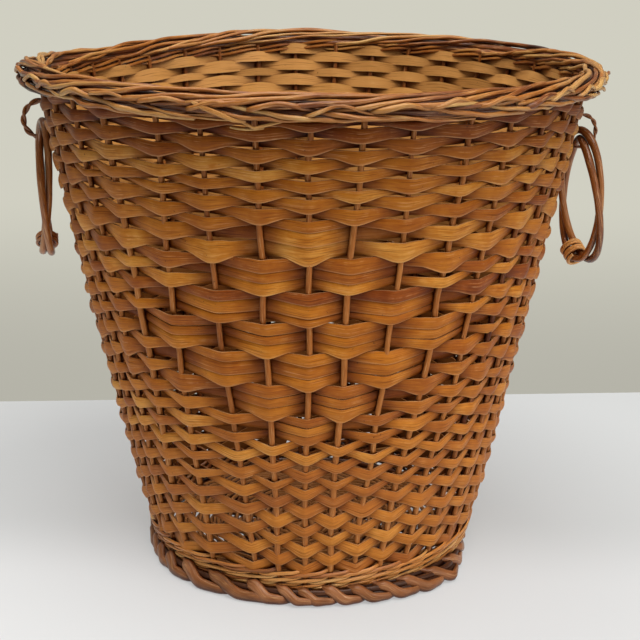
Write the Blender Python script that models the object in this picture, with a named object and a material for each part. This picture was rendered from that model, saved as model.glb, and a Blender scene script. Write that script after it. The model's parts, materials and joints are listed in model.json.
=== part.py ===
"""Tapered wicker basket with two swinging ring handles, modelled piece by piece.

Metres, +Z up. The origin is on the basket's own axis, on the surface that it stands on.
The front, which carries the diamond in the weave, faces -Y. The handles hang at -X and +X.
The upright stakes stand on a cone. Split weavers climb round them in one long spiral,
in front of one stake and behind the next, which an odd number of stakes makes alternate
from round to round by itself.
"""

import math

import bmesh
import bpy
import numpy as np
from mathutils import Matrix, Vector

COLLECTION_NAME = "tapered_wicker_basket"
CUTTER_COLLECTION_NAME = "cutters"

# Whole basket
BASKET_HEIGHT = 0.290
CLEARANCE = 0.0003

# Stakes: straight round rods on a cone, whose radii are those of their axes
STAKE_COUNT = 37
STAKE_RADIUS = 0.0016
STAKE_SIDE_COUNT = 6
STAKE_BASE_RADIUS = 0.0929
STAKE_TOP_RADIUS = 0.1546
STAKE_FOOT_HEIGHT = 0.0016

# Weavers: cleft willow, flat inside and ridged outside
WEAVER_THICKNESS = 0.0013
WEAVER_STAKE_GAP = 0.00035
WEAVER_ROUND_GAP = 0.0004
LOWER_ROUND_COUNTS = (7, 7)
PATTERN_ROUND_COUNTS = (3, 3, 3, 3, 3, 3, 3)
UPPER_ROUND_COUNTS = (5, 5)
LOWER_PITCH_SHARE = 1.0
PATTERN_PITCH_SHARE = 1.06
UPPER_PITCH_SHARE = 0.86
DIAMOND_HALF_COUNTS = (1, 2, 3, 4, 3, 2, 1)

# Wales: thin whole rods, in front of two stakes and behind one
WALE_FRONT_COUNT = 2
WALE_BEHIND_COUNT = 1
LOWER_WALE_ROD_RADIUS = 0.00145
LOWER_WALE_ROUND_COUNT = 2
UPPER_WALE_ROD_RADIUS = 0.0010
UPPER_WALE_ROUND_COUNT = 2
WALE_STAKE_GAP = 0.00045
WALE_ROUND_GAP = 0.0004

# Borders: each is a ring of bent-over rods, one lobe to a stake. A section's points
# lie at shares of the ring's width, counted outwards, and of its depth, counted upwards
LOBE_STEP_COUNT = 3
LOBE_HEIGHT = 0.0011
RIM_OVERHANG = 0.0104
RIM_DEPTH = 0.0185
RIM_INNER_DEPTH = 0.0094
RIM_WIDTH = 0.0150
RIM_INNER_FOOT_WIDTH_SHARE = 0.08
RIM_DROOP_WIDTH_SHARE = 0.13
RIM_WIDEST_DEPTH_SHARE = 0.36
RIM_SHOULDER_SHARES = (0.84, 0.82)
RIM_CREST_WIDTH_SHARE = 0.48
RIM_INNER_SHOULDER_DEPTH_SHARE = 0.76
RIM_LOBE_SHARES = (0, 0, 1, 1, 1, 1, 1)
FOOT_OVERHANG = 0.0089
FOOT_DEPTH = 0.0085
FOOT_FLAT_WIDTH = 0.0030
FOOT_WIDEST_DEPTH_SHARE = 0.42
FOOT_INNER_TOP_DEPTH_SHARE = 0.90
FOOT_INNER_LOW_DEPTH_SHARE = 0.20
FOOT_LOBE_SHARES = (0, 0, 1, 1, 0, 0)

# Base: sticks that cross at the middle, held in a woven disc
BASE_STICK_COUNT = 8
BASE_STICK_WIDTH = 0.0042
BASE_STICK_THICKNESS = 0.0036
BASE_STICK_END_GAP = 0.0030
BASE_THICKNESS = 0.0072
BASE_LIFT = 0.0020
BASE_EYE_RADIUS = 0.0150

# Ring handles: one rod that goes round twice and twists on itself
HANDLE_LENGTH = 0.0720
HANDLE_WIDTH = 0.0400
HANDLE_PEAR_SHARE = 0.12
HANDLE_ROD_RADIUS = 0.00215
HANDLE_ROD_GAP = 0.0007
HANDLE_HALF_TWIST_COUNT = 3
HANDLE_POINT_COUNT = 44
HANDLE_SIDES_LEVEL = 1
HANDLE_HANG_DROP = 0.0420
HANDLE_STAND_OFF = 0.0088
LEFT_HANDLE_TURN = math.radians(10.8)
RIGHT_HANDLE_TURN = math.radians(22.0)
RIGHT_HANDLE_LEAN = math.radians(4.5)

# Bindings: thin cane wound round the foot of each ring
BINDING_CANE_RADIUS = 0.0006
BINDING_TURN_COUNT = 3
BINDING_TURN_POINT_COUNT = 12
BINDING_TURN_GAP = 0.0003
BINDING_PLACE_SHARE = 0.44
BINDING_SIDES_LEVEL = 0

# Eye loops that the rings hang in
LOOP_CANE_RADIUS = 0.0018
LOOP_RUNNING_GAP = 0.0047
LOOP_SEAT_DROP = 0.0011
LOOP_HEIGHT = 0.0240
LOOP_SQUARENESS_SHARE = 0.7
LOOP_POINT_COUNT = 13
LOOP_SIDES_LEVEL = 1

# Finish of every mesh
SHARP_EDGE_ANGLE = math.radians(65.0)
WELD_DISTANCE = 0.00003

# Worked out from the sizes above
STAKE_ANGLE = 2 * math.pi / STAKE_COUNT
WALL_SLOPE = (STAKE_TOP_RADIUS - STAKE_BASE_RADIUS) / BASKET_HEIGHT
WALL_ANGLE = math.atan(WALL_SLOPE)
RIM_RADIUS = STAKE_TOP_RADIUS + RIM_OVERHANG
FOOT_RADIUS = STAKE_BASE_RADIUS + FOOT_OVERHANG
LOWER_WALE_PITCH = 2 * LOWER_WALE_ROD_RADIUS + WALE_ROUND_GAP
LOWER_WALE_FOOT = FOOT_DEPTH + CLEARANCE
LOWER_WALE_TOP = LOWER_WALE_FOOT + (LOWER_WALE_ROUND_COUNT + 1) * LOWER_WALE_PITCH
RIM_INNER_FOOT = BASKET_HEIGHT - RIM_INNER_DEPTH
UPPER_WALE_PITCH = 2 * UPPER_WALE_ROD_RADIUS + WALE_ROUND_GAP
UPPER_WALE_TOP = RIM_INNER_FOOT - CLEARANCE
UPPER_WALE_FOOT = UPPER_WALE_TOP - (UPPER_WALE_ROUND_COUNT + 1) * UPPER_WALE_PITCH
WEAVER_FOOT_HEIGHT = LOWER_WALE_TOP + CLEARANCE
WEAVER_TOP_HEIGHT = UPPER_WALE_FOOT - CLEARANCE
ROUND_COUNT = sum(LOWER_ROUND_COUNTS) + sum(PATTERN_ROUND_COUNTS) + sum(UPPER_ROUND_COUNTS)
HANDLE_STRAND_OFFSET = HANDLE_ROD_RADIUS + HANDLE_ROD_GAP / 2
HANDLE_BUNDLE_RADIUS = HANDLE_STRAND_OFFSET + HANDLE_ROD_RADIUS
HANDLE_HANG_HEIGHT = BASKET_HEIGHT - HANDLE_HANG_DROP
HANDLE_HANG_RADIUS = STAKE_BASE_RADIUS + WALL_SLOPE * HANDLE_HANG_HEIGHT + HANDLE_STAND_OFF


def stake_circle_radius(height):
    """Radius of the cone that the stakes' axes lie on, at a height."""
    return STAKE_BASE_RADIUS + WALL_SLOPE * height


def round_point(radius, turn, height):
    """Point at a radius and height, at an angle counted from the front towards +X."""
    return np.array([radius * math.sin(turn), -radius * math.cos(turn), height])


def clear_scene():
    """Remove every object of the scene that the script starts in."""
    for obj in list(bpy.data.objects):
        bpy.data.objects.remove(obj, do_unlink=True)


def new_collection(name):
    """Collection linked to the scene."""
    collection = bpy.data.collections.new(name)
    bpy.context.scene.collection.children.link(collection)
    return collection


def new_material(name, colour, roughness):
    """Principled material of one willow finish."""
    material = bpy.data.materials.new(name)
    material.use_nodes = True
    shader = material.node_tree.nodes["Principled BSDF"]
    shader.inputs["Base Color"].default_value = (*colour, 1.0)
    shader.inputs["Roughness"].default_value = roughness
    shader.inputs["Metallic"].default_value = 0.0
    material.diffuse_color = (*colour, 1.0)
    return material


def add_object(name, data, material, collection):
    """Object from mesh or curve data, with its material, in its collection."""
    obj = bpy.data.objects.new(name, data)
    if not data.materials:
        data.materials.append(material)
    collection.objects.link(obj)
    return obj


def tube(name, points, radius, sides_level, material, collection, closed=False):
    """Round rod: a poly curve through the points, with a bevel and filled ends."""
    curve = bpy.data.curves.new(name, "CURVE")
    curve.dimensions = "3D"
    curve.bevel_depth = radius
    curve.bevel_resolution = sides_level
    curve.use_fill_caps = not closed
    spline = curve.splines.new("POLY")
    spline.points.add(len(points) - 1)
    for spline_point, point in zip(spline.points, points):
        spline_point.co = (*point, 1.0)
    spline.use_cyclic_u = closed
    return add_object(name, curve, material, collection)


def finish_mesh(mesh):
    """Weld a closed mesh's doubles, turn its faces outwards and shade its round sides smooth."""
    work = bmesh.new()
    work.from_mesh(mesh)
    bmesh.ops.remove_doubles(work, verts=work.verts, dist=WELD_DISTANCE)
    bmesh.ops.recalc_face_normals(work, faces=work.faces)
    work.to_mesh(mesh)
    work.free()
    mesh.shade_smooth()
    mesh.set_sharp_from_angle(angle=SHARP_EDGE_ANGLE)


def loft(name, rings, material, collection, closed):
    """Solid through rings of points, laid end to end or joined last to first.

    Every ring is a row of the array, with as many points as the others. Neighbouring
    rings are joined by four-sided faces, and open ends get a flat face each.
    """
    ring_count, side_count = rings.shape[:2]
    step_count = ring_count if closed else ring_count - 1
    faces = []
    for step in range(step_count):
        this_ring = step * side_count
        next_ring = (step + 1) % ring_count * side_count
        for side in range(side_count):
            next_side = (side + 1) % side_count
            near_side = (this_ring + side, this_ring + next_side)
            far_side = (next_ring + next_side, next_ring + side)
            faces.append(near_side + far_side)
    if not closed:
        last_ring = (ring_count - 1) * side_count
        faces.append(tuple(range(side_count - 1, -1, -1)))
        faces.append(tuple(range(last_ring, last_ring + side_count)))
    mesh = bpy.data.meshes.new(name)
    mesh.from_pydata(rings.reshape(-1, 3).tolist(), [], faces)
    finish_mesh(mesh)
    return add_object(name, mesh, material, collection)


def make_stakes(material, collection):
    """Straight rods from the foot border up to the rim border, one object each."""
    slant = (RIM_INNER_FOOT - CLEARANCE - STAKE_FOOT_HEIGHT) / math.cos(WALL_ANGLE)
    mesh = bpy.data.meshes.new("stake")
    work = bmesh.new()
    bmesh.ops.create_cone(
        work,
        cap_ends=True,
        segments=STAKE_SIDE_COUNT,
        radius1=STAKE_RADIUS,
        radius2=STAKE_RADIUS,
        depth=slant,
    )
    work.to_mesh(mesh)
    work.free()
    finish_mesh(mesh)
    middle_height = (RIM_INNER_FOOT - CLEARANCE + STAKE_FOOT_HEIGHT) / 2
    for index in range(STAKE_COUNT):
        turn = index * STAKE_ANGLE
        stake = add_object(f"stake_{index + 1:02d}", mesh, material, collection)
        stake.location = round_point(stake_circle_radius(middle_height), turn, middle_height)
        stake.rotation_euler = (WALL_ANGLE, 0.0, turn)


def round_boundary_height(rounds):
    """Height of the line between one round and the next, after so many rounds of the spiral.

    Rounds of the pattern are a little wider than those under it, and those above it are
    narrower. The spiral climbs one whole round more than it has, from its foot to its top.
    """
    zones = (
        (sum(LOWER_ROUND_COUNTS), LOWER_PITCH_SHARE),
        (sum(PATTERN_ROUND_COUNTS), PATTERN_PITCH_SHARE),
        (sum(UPPER_ROUND_COUNTS) + 1, UPPER_PITCH_SHARE),
    )
    marks = np.cumsum([0, *(count for count, share in zones)])
    climbs = np.cumsum([0, *(count * share for count, share in zones)])
    climb_share = np.interp(rounds, marks, climbs / climbs[-1])
    return WEAVER_FOOT_HEIGHT + (WEAVER_TOP_HEIGHT - WEAVER_FOOT_HEIGHT) * climb_share


def diamond_flips(row_from_top, stake_from_front):
    """True where the middle round of a pattern course changes sides inside the diamond."""
    first_pattern_row = sum(UPPER_ROUND_COUNTS)
    course, row_in_course = divmod(row_from_top - first_pattern_row, PATTERN_ROUND_COUNTS[0])
    if not 0 <= course < len(DIAMOND_HALF_COUNTS):
        return False
    is_middle = row_in_course == PATTERN_ROUND_COUNTS[0] // 2
    return is_middle and abs(stake_from_front) <= DIAMOND_HALF_COUNTS[course]


def weaver_side(crossing):
    """+1 where the spiral passes in front of a stake and -1 where it passes behind."""
    side = 1 if crossing % 2 == 0 else -1
    row_from_top = ROUND_COUNT - 1 - crossing // STAKE_COUNT
    stake_from_front = crossing % STAKE_COUNT - STAKE_COUNT // 2
    if diamond_flips(row_from_top, stake_from_front):
        side = -side
    return side


def weaver_section(place):
    """Wedge section of the spiral at a place counted in crossings from its foot.

    The spiral starts behind the basket. Its middle swings from one side of the stakes
    to the other between crossings, and in every round it climbs by its own width.
    """
    before = math.floor(place)
    after_share = place - before
    side = weaver_side(before)
    if after_share > 0:
        side = (1 - after_share) * side + after_share * weaver_side(before + 1)
    swing = STAKE_RADIUS + WEAVER_STAKE_GAP + WEAVER_THICKNESS / 2
    turn = (place - STAKE_COUNT // 2) * STAKE_ANGLE
    low = round_boundary_height(place / STAKE_COUNT) + WEAVER_ROUND_GAP / 2
    high = round_boundary_height(place / STAKE_COUNT + 1) - WEAVER_ROUND_GAP / 2
    height = (low + high) / 2
    middle = stake_circle_radius(height) + side * swing
    back_radius = middle - WEAVER_THICKNESS / 2
    ridge_radius = middle + WEAVER_THICKNESS / 2
    lean = WALL_SLOPE * (high - low) / 2
    return [
        round_point(back_radius - lean, turn, low),
        round_point(ridge_radius, turn, height),
        round_point(back_radius + lean, turn, high),
    ]


def make_weaver(name, first_round, round_count, material, collection):
    """Length of the spiral, from the middle of one gap at the back to the middle of another."""
    start = first_round * STAKE_COUNT
    end = (first_round + round_count) * STAKE_COUNT
    radius = stake_circle_radius(round_boundary_height(first_round))
    end_gap = CLEARANCE / 2 / (radius * STAKE_ANGLE)
    places = [start - 1 / 2 + end_gap, *range(start, end), end - 1 / 2 - end_gap]
    if first_round == 0:
        places = places[1:]
    rings = np.array([weaver_section(place) for place in places])
    loft(name, rings, material, collection, closed=False)


def make_weavers(material, collection):
    """All the weavers from the bottom up: plain, then the pattern's courses, then plain."""
    groups = (
        ("lower_weaver", LOWER_ROUND_COUNTS),
        ("pattern_weaver", PATTERN_ROUND_COUNTS),
        ("upper_weaver", UPPER_ROUND_COUNTS),
    )
    first_round = 0
    for group_name, round_counts in groups:
        for number, round_count in enumerate(round_counts, start=1):
            make_weaver(f"{group_name}_{number}", first_round, round_count, material, collection)
            first_round += round_count


def make_wale(name, foot_height, rod_radius, round_count, material, collection):
    """Whole rod that climbs round the stakes, in front of some and behind the next."""
    repeat = WALE_FRONT_COUNT + WALE_BEHIND_COUNT
    swing = STAKE_RADIUS + WALE_STAKE_GAP + rod_radius
    pitch = 2 * rod_radius + WALE_ROUND_GAP
    rings = []
    for crossing in range(round_count * STAKE_COUNT):
        turn = (crossing - STAKE_COUNT // 2) * STAKE_ANGLE
        side = 1 if crossing % repeat < WALE_FRONT_COUNT else -1
        height = foot_height + pitch * (crossing / STAKE_COUNT + 1 / 2)
        radius = stake_circle_radius(height) + side * swing
        rings.append([
            round_point(radius, turn, height - rod_radius),
            round_point(radius + rod_radius, turn, height),
            round_point(radius, turn, height + rod_radius),
            round_point(radius - rod_radius, turn, height),
        ])
    loft(name, np.array(rings), material, collection, closed=False)


def make_lower_wale(material, collection):
    """Rods just over the foot border."""
    sizes = (LOWER_WALE_FOOT, LOWER_WALE_ROD_RADIUS, LOWER_WALE_ROUND_COUNT)
    make_wale("lower_wale", *sizes, material, collection)


def make_upper_wale(material, collection):
    """Rods just under the rim border."""
    sizes = (UPPER_WALE_FOOT, UPPER_WALE_ROD_RADIUS, UPPER_WALE_ROUND_COUNT)
    make_wale("upper_wale", *sizes, material, collection)


def make_border(name, section, lobe_shares, material, collection):
    """Ring of bent-over rods: a section carried round, with one slanting lobe to a stake.

    The section lists radius and height. Each of its points rises out of the ring's
    surface by its lobe share of a wave that runs once round it to each stake.
    """
    section = np.array(section)
    middle = section.mean(axis=0)
    outward = section - middle
    outward /= np.linalg.norm(outward, axis=1)[:, None]
    step_count = STAKE_COUNT * LOBE_STEP_COUNT
    rings = []
    for step in range(step_count):
        turn = step * 2 * math.pi / step_count
        ring = []
        for index, (point, direction) in enumerate(zip(section, outward)):
            phase = 2 * math.pi * (step / LOBE_STEP_COUNT - index / len(section))
            rise = -LOBE_HEIGHT * lobe_shares[index] * (1 - math.cos(phase)) / 2
            radius, height = point + rise * direction
            ring.append(round_point(radius, turn, height))
        rings.append(ring)
    loft(name, np.array(rings), material, collection, closed=True)


def make_rim_border(material, collection):
    """Rolled rim whose outer plait droops in front of the top rounds."""
    inner = RIM_RADIUS - RIM_WIDTH
    foot = BASKET_HEIGHT - RIM_DEPTH
    wale_proud = STAKE_RADIUS + WALE_STAKE_GAP + 2 * UPPER_WALE_ROD_RADIUS
    wale_front = stake_circle_radius(UPPER_WALE_TOP) + wale_proud
    lip_radius = wale_front + 2 * CLEARANCE
    shoulder_width_share, shoulder_depth_share = RIM_SHOULDER_SHARES
    section = [
        (inner + RIM_WIDTH * RIM_INNER_FOOT_WIDTH_SHARE, RIM_INNER_FOOT),
        (lip_radius, RIM_INNER_FOOT),
        (lip_radius + RIM_WIDTH * RIM_DROOP_WIDTH_SHARE, foot),
        (RIM_RADIUS, foot + RIM_DEPTH * RIM_WIDEST_DEPTH_SHARE),
        (inner + RIM_WIDTH * shoulder_width_share, foot + RIM_DEPTH * shoulder_depth_share),
        (inner + RIM_WIDTH * RIM_CREST_WIDTH_SHARE, BASKET_HEIGHT),
        (inner, foot + RIM_DEPTH * RIM_INNER_SHOULDER_DEPTH_SHARE),
    ]
    make_border("rim_border", section, RIM_LOBE_SHARES, material, collection)


def make_foot_border(material, collection):
    """Plaited ring round the stakes' feet, cut flat where it stands."""
    inner = stake_circle_radius(FOOT_DEPTH) + STAKE_RADIUS / math.cos(WALL_ANGLE) + CLEARANCE
    flat_middle = (inner + FOOT_RADIUS) / 2
    section = [
        (flat_middle - FOOT_FLAT_WIDTH / 2, 0.0),
        (flat_middle + FOOT_FLAT_WIDTH / 2, 0.0),
        (FOOT_RADIUS, FOOT_DEPTH * FOOT_WIDEST_DEPTH_SHARE),
        (flat_middle + FOOT_FLAT_WIDTH / 2, FOOT_DEPTH),
        (inner, FOOT_DEPTH * FOOT_INNER_TOP_DEPTH_SHARE),
        (inner, FOOT_DEPTH * FOOT_INNER_LOW_DEPTH_SHARE),
    ]
    make_border("foot_border", section, FOOT_LOBE_SHARES, material, collection)


def star_outline(arm_count, arm_width, arm_length):
    """Flat outline of sticks that all cross at the middle."""
    half_angle = math.pi / arm_count
    notch_radius = arm_width / 2 / math.sin(half_angle)
    outline = []
    for arm in range(arm_count):
        direction = Matrix.Rotation(2 * half_angle * arm, 3, "Z")
        outline.append(direction @ Vector((arm_length, -arm_width / 2, 0.0)))
        outline.append(direction @ Vector((arm_length, arm_width / 2, 0.0)))
        notch = Matrix.Rotation(2 * half_angle * arm + half_angle, 3, "Z")
        outline.append(notch @ Vector((notch_radius, 0.0, 0.0)))
    return outline


def star(name, arm_width, arm_length, thickness, material, collection):
    """Crossed sticks as a flat curve with a thickness."""
    curve = bpy.data.curves.new(name, "CURVE")
    curve.dimensions = "2D"
    curve.fill_mode = "BOTH"
    curve.extrude = thickness / 2
    outline = star_outline(2 * BASE_STICK_COUNT, arm_width, arm_length)
    spline = curve.splines.new("POLY")
    spline.points.add(len(outline) - 1)
    for spline_point, point in zip(spline.points, outline):
        spline_point.co = (*point, 1.0)
    spline.use_cyclic_u = True
    obj = add_object(name, curve, material, collection)
    obj.location.z = BASE_LIFT + BASE_THICKNESS / 2
    return obj


def make_base_sticks(material, collection):
    """Sticks of the base, which cross at its middle."""
    length = base_disc_radius() - BASE_STICK_END_GAP - CLEARANCE
    star("base_sticks", BASE_STICK_WIDTH, length, BASE_STICK_THICKNESS, material, collection)


def base_disc_radius():
    """Largest disc that stands clear inside the ring of stakes."""
    return stake_circle_radius(BASE_LIFT) - STAKE_RADIUS / math.cos(WALL_ANGLE) - CLEARANCE


def as_mesh_object(curve_object, collection):
    """Mesh copy of a curve object, with its caps welded on, in place of the curve."""
    bpy.context.view_layer.update()
    evaluated = curve_object.evaluated_get(bpy.context.evaluated_depsgraph_get())
    mesh = bpy.data.meshes.new_from_object(evaluated)
    finish_mesh(mesh)
    obj = bpy.data.objects.new(curve_object.name + "_mesh", mesh)
    obj.matrix_world = curve_object.matrix_world
    collection.objects.link(obj)
    bpy.data.objects.remove(curve_object, do_unlink=True)
    return obj


def make_base_weave(material, collection, cutters):
    """Woven disc with an eye at its middle and a channel for every stick."""
    outer = base_disc_radius()
    low = BASE_LIFT
    high = BASE_LIFT + BASE_THICKNESS
    rings = []
    for index in range(STAKE_COUNT):
        turn = index * STAKE_ANGLE
        rings.append([
            round_point(BASE_EYE_RADIUS, turn, low),
            round_point(outer, turn, low),
            round_point(outer, turn, high),
            round_point(BASE_EYE_RADIUS, turn, high),
        ])
    weave = loft("base_weave", np.array(rings), material, collection, closed=True)
    channel_width = BASE_STICK_WIDTH + 2 * CLEARANCE
    channel_length = outer - BASE_STICK_END_GAP
    channel_thickness = BASE_STICK_THICKNESS + 2 * CLEARANCE
    cutter = star("base_channels", channel_width, channel_length, channel_thickness, material, cutters)
    cutter = as_mesh_object(cutter, cutters)
    cutter.hide_render = True
    cutter.display_type = "WIRE"
    cut = weave.modifiers.new("stick_channels", "BOOLEAN")
    cut.operation = "DIFFERENCE"
    cut.object = cutter
    cut.solver = "EXACT"


def ring_centre(angle):
    """Middle line of a ring handle, hung from its origin: a pear shape in the YZ plane."""
    across = HANDLE_WIDTH / 2 * math.sin(angle) * (1 - HANDLE_PEAR_SHARE * math.cos(angle))
    down = HANDLE_LENGTH / 2 * (1 - math.cos(angle))
    return np.array([0.0, across, -down])


def ring_normal(angle):
    """Unit direction in the ring's plane, square to its middle line, away from its hole."""
    step = math.pi / HANDLE_POINT_COUNT
    along = ring_centre(angle + step) - ring_centre(angle - step)
    along /= np.linalg.norm(along)
    return np.array([0.0, -along[2], along[1]])


def ring_strand_point(travel):
    """Point of the rod, which goes round twice and lies opposite itself all the way.

    At the top, in the eye loop, one pass of the rod lies above the other.
    """
    swing = (math.pi + HANDLE_HALF_TWIST_COUNT * travel) / 2
    off_middle = np.array([math.cos(swing), 0.0, 0.0]) + math.sin(swing) * ring_normal(travel)
    return ring_centre(travel) + HANDLE_STRAND_OFFSET * off_middle


def make_handle(name, side, turn, lean, material, collection):
    """Ring handle with its origin on the axis that it swings about.

    It is turned about the vertical in its eye loop, and leans away from the wall.
    """
    travels = [4 * math.pi * step / HANDLE_POINT_COUNT for step in range(HANDLE_POINT_COUNT)]
    points = [ring_strand_point(travel) for travel in travels]
    handle = tube(name, points, HANDLE_ROD_RADIUS, HANDLE_SIDES_LEVEL, material, collection, closed=True)
    handle.location = (side * HANDLE_HANG_RADIUS, 0.0, HANDLE_HANG_HEIGHT)
    handle.rotation_euler = (0.0, -side * lean, turn)
    return handle


def make_binding(name, handle, material, collection):
    """Cane wound round the lower part of a ring, carried by it."""
    middle_angle = 2 * math.pi * BINDING_PLACE_SHARE
    middle = ring_centre(middle_angle)
    outward = ring_normal(middle_angle)
    along = np.cross(outward, (1.0, 0.0, 0.0))
    turn_pitch = 2 * BINDING_CANE_RADIUS + BINDING_TURN_GAP
    wound_radius = HANDLE_BUNDLE_RADIUS + CLEARANCE + BINDING_CANE_RADIUS
    corner_radius = wound_radius / math.cos(math.pi / BINDING_TURN_POINT_COUNT)
    points = []
    for step in range(BINDING_TURN_COUNT * BINDING_TURN_POINT_COUNT + 1):
        swing = 2 * math.pi * step / BINDING_TURN_POINT_COUNT
        forward = turn_pitch * (step / BINDING_TURN_POINT_COUNT - BINDING_TURN_COUNT / 2)
        across = np.array([math.cos(swing), 0.0, 0.0]) + math.sin(swing) * outward
        points.append(middle + forward * along + corner_radius * across)
    binding = tube(name, points, BINDING_CANE_RADIUS, BINDING_SIDES_LEVEL, material, collection)
    binding.parent = handle


def make_eye_loop(name, side, material, collection):
    """Cane loop that leaves the wall under the rim and comes back into it lower down."""
    foot = HANDLE_HANG_HEIGHT - HANDLE_BUNDLE_RADIUS - CLEARANCE - LOOP_CANE_RADIUS - LOOP_SEAT_DROP
    reach = HANDLE_HANG_RADIUS + HANDLE_BUNDLE_RADIUS + LOOP_RUNNING_GAP + LOOP_CANE_RADIUS
    middle_height = foot + LOOP_HEIGHT / 2
    past_stake_share = (math.pi / 2 / STAKE_ANGLE) % 1
    weaver_swing = STAKE_RADIUS + WEAVER_STAKE_GAP + WEAVER_THICKNESS / 2
    wall_front = weaver_swing * abs(1 - 2 * past_stake_share) + WEAVER_THICKNESS / 2
    wall_front += CLEARANCE + LOOP_CANE_RADIUS * WALL_SLOPE
    points = []
    for step in range(LOOP_POINT_COUNT):
        angle = math.pi * (step / (LOOP_POINT_COUNT - 1) - 1 / 2)
        height = middle_height + LOOP_HEIGHT / 2 * math.sin(angle)
        wall = stake_circle_radius(height) + wall_front
        radius = wall + (reach - wall) * abs(math.cos(angle)) ** LOOP_SQUARENESS_SHARE
        points.append((side * radius, 0.0, height))
    tube(name, points, LOOP_CANE_RADIUS, LOOP_SIDES_LEVEL, material, collection)


def build():
    """Make every piece of the basket."""
    clear_scene()
    basket = new_collection(COLLECTION_NAME)
    cutters = new_collection(CUTTER_COLLECTION_NAME)
    stake_willow = new_material("stake_willow", (0.200, 0.075, 0.026), 0.45)
    split_willow = new_material("split_willow", (0.330, 0.130, 0.040), 0.40)
    wale_willow = new_material("wale_willow", (0.360, 0.150, 0.050), 0.42)
    border_willow = new_material("border_willow", (0.400, 0.160, 0.060), 0.40)
    base_willow = new_material("base_willow", (0.360, 0.180, 0.070), 0.50)
    handle_willow = new_material("handle_willow", (0.310, 0.110, 0.040), 0.38)
    binding_cane = new_material("binding_cane", (0.220, 0.080, 0.030), 0.45)
    make_base_sticks(base_willow, basket)
    make_base_weave(base_willow, basket, cutters)
    make_stakes(stake_willow, basket)
    make_foot_border(border_willow, basket)
    make_lower_wale(wale_willow, basket)
    make_weavers(split_willow, basket)
    make_upper_wale(wale_willow, basket)
    make_rim_border(border_willow, basket)
    sides = (("left", -1, LEFT_HANDLE_TURN, 0.0), ("right", 1, RIGHT_HANDLE_TURN, RIGHT_HANDLE_LEAN))
    for side_name, side, turn, lean in sides:
        make_eye_loop(f"{side_name}_eye_loop", side, binding_cane, basket)
        handle = make_handle(f"{side_name}_handle", side, turn, lean, handle_willow, basket)
        make_binding(f"{side_name}_handle_binding", handle, binding_cane, basket)


build()
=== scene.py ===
"""Looks of a tapered wicker basket: split and round willow woven round 37 stakes, with two ring handles."""
import json
import math

import bpy
import numpy as np
from mathutils import Matrix, Vector


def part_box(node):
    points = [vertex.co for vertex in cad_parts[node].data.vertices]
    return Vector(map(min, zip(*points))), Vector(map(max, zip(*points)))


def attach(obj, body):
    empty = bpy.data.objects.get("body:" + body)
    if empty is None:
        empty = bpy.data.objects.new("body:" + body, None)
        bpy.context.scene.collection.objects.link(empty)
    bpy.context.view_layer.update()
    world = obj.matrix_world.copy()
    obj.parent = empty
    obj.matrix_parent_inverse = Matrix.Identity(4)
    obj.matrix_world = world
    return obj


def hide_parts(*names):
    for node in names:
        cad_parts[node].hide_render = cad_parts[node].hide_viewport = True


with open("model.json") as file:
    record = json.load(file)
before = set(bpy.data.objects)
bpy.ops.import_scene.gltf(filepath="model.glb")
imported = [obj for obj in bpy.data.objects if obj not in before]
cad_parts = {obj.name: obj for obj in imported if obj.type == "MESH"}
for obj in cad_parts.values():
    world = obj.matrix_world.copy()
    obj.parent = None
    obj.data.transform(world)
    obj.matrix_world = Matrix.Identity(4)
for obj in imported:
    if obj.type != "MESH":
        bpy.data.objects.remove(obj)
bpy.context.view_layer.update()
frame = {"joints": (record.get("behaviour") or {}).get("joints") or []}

TAU = 2 * math.pi

# Wall, in metres: its middle line is the circle of the stakes, read from the stake at the front
STAKE_COUNT = 37
SPACING = TAU / STAKE_COUNT
STAKE_LOW, STAKE_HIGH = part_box("stake_01")
STAKE_FOOT, STAKE_TOP = STAKE_LOW[2], STAKE_HIGH[2]
STAKE_RADIUS = (STAKE_HIGH[0] - STAKE_LOW[0]) / 2
RIM_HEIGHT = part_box("rim_border")[1][2]
WALL_FOOT_RADIUS = -STAKE_HIGH[1] - STAKE_RADIUS
WALL_SLOPE = (STAKE_HIGH[1] - STAKE_LOW[1] - 2 * STAKE_RADIUS) / (STAKE_TOP - STAKE_FOOT)

# Where the real basket strays from a true cone: its wall swells and stands loose of the solids' stakes, its
# foot is a shifted oval, and its rim sinks at the back left
WALL_BULGE = 0.0013
WALL_LOOSENESS = 0.0030
FOOT_SHIFT = np.array([0.0025, -0.0030, 0.0])
SHIFT_TOP = 0.20
FOOT_STRETCH = np.array([-0.024, 0.010, 0.0])
STRETCH_TOP = 0.050
DROOP, DROOP_FOOT = 0.0055, 0.19
DROOP_TURN, DROOP_REACH = math.radians(-122), math.radians(50)
LEAN = math.atan(WALL_SLOPE)

# Rounds of split willow, counted up from the foot wale
LOWER_ROUNDS, PATTERN_ROUNDS, UPPER_ROUNDS = 14, 21, 10
ROUNDS = LOWER_ROUNDS + PATTERN_ROUNDS + UPPER_ROUNDS
WEAVE_FOOT = 0.0153
LOWER_PITCH_FIRST, LOWER_PITCH_LAST = 0.0069, 0.0051
PATTERN_PITCH, UPPER_PITCH = 0.00595, 0.0051
COURSE_SHARES = (0.86, 0.95, 1.08, 0.96, 0.96, 1.00, 1.19)
DIAMOND_REACH = (1, 2, 3, 4, 3, 2, 1)
SPLIT_THICKNESS = 0.0013

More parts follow.
